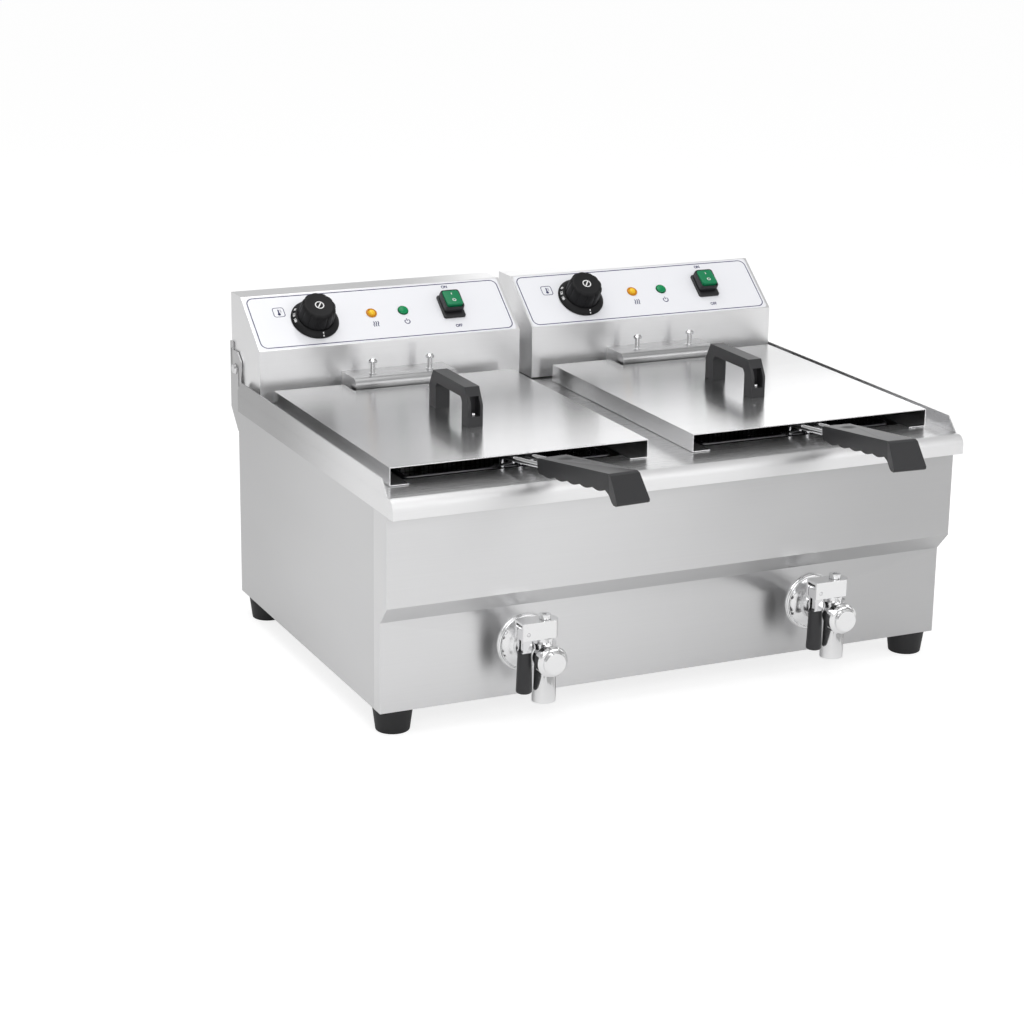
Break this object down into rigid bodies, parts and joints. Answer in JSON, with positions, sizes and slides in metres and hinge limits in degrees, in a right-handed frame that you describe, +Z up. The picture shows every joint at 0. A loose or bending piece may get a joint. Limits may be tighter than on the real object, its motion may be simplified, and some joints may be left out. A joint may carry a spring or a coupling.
{
  "type": "deep fryer",
  "caption": "Countertop deep fryer: steel cabinet with two oil tanks, lidded baskets with handles, tilting control heads and lever drain taps.",
  "frame": {"origin": "on the table under the middle of the bounding box", "axes": "+Z up, +X to the right, the front with the drain taps faces -Y"},
  "size_m": [0.7, 0.7072, 0.3957],
  "materials": {
    "cabinet_steel": "brushed sheet, fine grain",
    "polished_chrome": "polished plating",
    "wire_steel": "bright drawn wire",
    "heater_steel": "annealed tube",
    "foot_rubber": "matte",
    "handle_plastic": "fine moulded texture",
    "control_plastic": "satin",
    "gland_plastic": "satin",
    "lamp_amber": "translucent lens",
    "lamp_green": "translucent lens",
    "rocker_green": "gloss"
  },
  "bodies": {
    "cabinet": {"cabinet_shell": "cabinet_steel", "front_panel": "cabinet_steel", "base_plate": "cabinet_steel", "worktop": "cabinet_steel", "rubber_feet": "foot_rubber", "foot_screws": "polished_chrome", "left_tank": "cabinet_steel", "right_tank": "cabinet_steel", "tap_rosettes": "polished_chrome", "tap_bodies": "polished_chrome", "tap_plugs": "polished_chrome", "hinge_brackets": "cabinet_steel"},
    "left_tap_head": {"left_tap_hood": "polished_chrome", "left_tap_stem": "polished_chrome"},
    "left_tap_lever": {"left_tap_arm": "cabinet_steel", "left_tap_grip": "handle_plastic"},
    "left_guard": {"left_heater_guard": "cabinet_steel"},
    "left_basket_unit": {"left_basket": "wire_steel", "left_basket_handle": "wire_steel", "left_basket_grip": "handle_plastic"},
    "left_lid_unit": {"left_lid": "cabinet_steel", "left_lid_handle": "handle_plastic", "left_lid_screws": "polished_chrome"},
    "left_head": {"left_head_shell": "cabinet_steel", "left_head_back": "cabinet_steel", "left_hinge_bolts": "polished_chrome", "left_heater_bracket": "cabinet_steel", "left_hook_studs": "polished_chrome", "left_heating_element": "heater_steel", "left_thermostat": "polished_chrome", "left_heat_lamp": "lamp_amber", "left_power_lamp": "lamp_green", "left_switch_body": "control_plastic", "left_cable_gland": "gland_plastic"},
    "left_dial_knob": {"left_knob": "control_plastic"},
    "left_rocker": {"left_switch_rocker": "rocker_green"},
    "right_tap_head": {"right_tap_hood": "polished_chrome", "right_tap_stem": "polished_chrome"},
    "right_tap_lever": {"right_tap_arm": "cabinet_steel", "right_tap_grip": "handle_plastic"},
    "right_guard": {"right_heater_guard": "cabinet_steel"},
    "right_basket_unit": {"right_basket": "wire_steel", "right_basket_handle": "wire_steel", "right_basket_grip": "handle_plastic"},
    "right_lid_unit": {"right_lid": "cabinet_steel", "right_lid_handle": "handle_plastic", "right_lid_screws": "polished_chrome"},
    "right_head": {"right_head_shell": "cabinet_steel", "right_head_back": "cabinet_steel", "right_hinge_bolts": "polished_chrome", "right_heater_bracket": "cabinet_steel", "right_hook_studs": "polished_chrome", "right_heating_element": "heater_steel", "right_thermostat": "polished_chrome", "right_heat_lamp": "lamp_amber", "right_power_lamp": "lamp_green", "right_switch_body": "control_plastic", "right_cable_gland": "gland_plastic"},
    "right_dial_knob": {"right_knob": "control_plastic"},
    "right_rocker": {"right_switch_rocker": "rocker_green"}
  },
  "joints": [
    {"name": "left_tap_turn", "type": "hinge", "parent": "cabinet", "child": "left_tap_head", "pos_m": [-0.18, -0.19079, 0.12], "axis": [0, 0, 1], "range_deg": [0, 90]},
    {"name": "left_tap_lift", "type": "hinge", "parent": "left_tap_head", "child": "left_tap_lever", "pos_m": [-0.2035, -0.19079, 0.116], "axis": [0, 1, 0], "range_deg": [0, 90]},
    {"name": "left_head_tilt", "type": "hinge", "parent": "cabinet", "child": "left_head", "pos_m": [-0.1757, 0.33221, 0.3], "axis": [-1, 0, 0], "range_deg": [0, 75]},
    {"name": "left_guard_lift", "type": "slide", "parent": "cabinet", "child": "left_guard", "axis": [0, 0, 1], "range_m": [0, 0.57]},
    {"name": "left_basket_lift", "type": "slide", "parent": "left_guard", "child": "left_basket_unit", "axis": [0, 0, 1], "range_m": [0, 0.25]},
    {"name": "left_lid_lift", "type": "slide", "parent": "left_basket_unit", "child": "left_lid_unit", "axis": [0, 0, 1], "range_m": [0, 0.25]},
    {"name": "left_knob_turn", "type": "hinge", "parent": "left_head", "child": "left_dial_knob", "pos_m": [-0.2624, 0.27526, 0.37105], "axis": [0, 0.6229, -0.7823], "range_deg": [0, 270]},
    {"name": "left_rocker_press", "type": "hinge", "parent": "left_head", "child": "left_rocker", "pos_m": [-0.0832, 0.28205, 0.37135], "axis": [1, 0, 0], "range_deg": [0, 10]},
    {"name": "right_tap_turn", "type": "hinge", "parent": "cabinet", "child": "right_tap_head", "pos_m": [0.18, -0.19079, 0.12], "axis": [0, 0, 1], "range_deg": [0, 90]},
    {"name": "right_tap_lift", "type": "hinge", "parent": "right_tap_head", "child": "right_tap_lever", "pos_m": [0.1565, -0.19079, 0.116], "axis": [0, 1, 0], "range_deg": [0, 90]},
    {"name": "right_head_tilt", "type": "hinge", "parent": "cabinet", "child": "right_head", "pos_m": [0.1757, 0.33221, 0.3], "axis": [-1, 0, 0], "range_deg": [0, 75]},
    {"name": "right_guard_lift", "type": "slide", "parent": "cabinet", "child": "right_guard", "axis": [0, 0, 1], "range_m": [0, 0.57]},
    {"name": "right_basket_lift", "type": "slide", "parent": "right_guard", "child": "right_basket_unit", "axis": [0, 0, 1], "range_m": [0, 0.25]},
    {"name": "right_lid_lift", "type": "slide", "parent": "right_basket_unit", "child": "right_lid_unit", "axis": [0, 0, 1], "range_m": [0, 0.25]},
    {"name": "right_knob_turn", "type": "hinge", "parent": "right_head", "child": "right_dial_knob", "pos_m": [0.089, 0.27526, 0.37105], "axis": [0, 0.6229, -0.7823], "range_deg": [0, 270]},
    {"name": "right_rocker_press", "type": "hinge", "parent": "right_head", "child": "right_rocker", "pos_m": [0.2682, 0.28205, 0.37135], "axis": [1, 0, 0], "range_deg": [0, 10]}
  ],
  "couplings": [
    {"joint": "left_tap_turn", "follows": "left_tap_lift", "ratio": 1},
    {"joint": "left_guard_lift", "follows": "left_head_tilt", "m_per_rad": 0.43},
    {"joint": "right_tap_turn", "follows": "right_tap_lift", "ratio": 1},
    {"joint": "right_guard_lift", "follows": "right_head_tilt", "m_per_rad": 0.43}
  ]
}
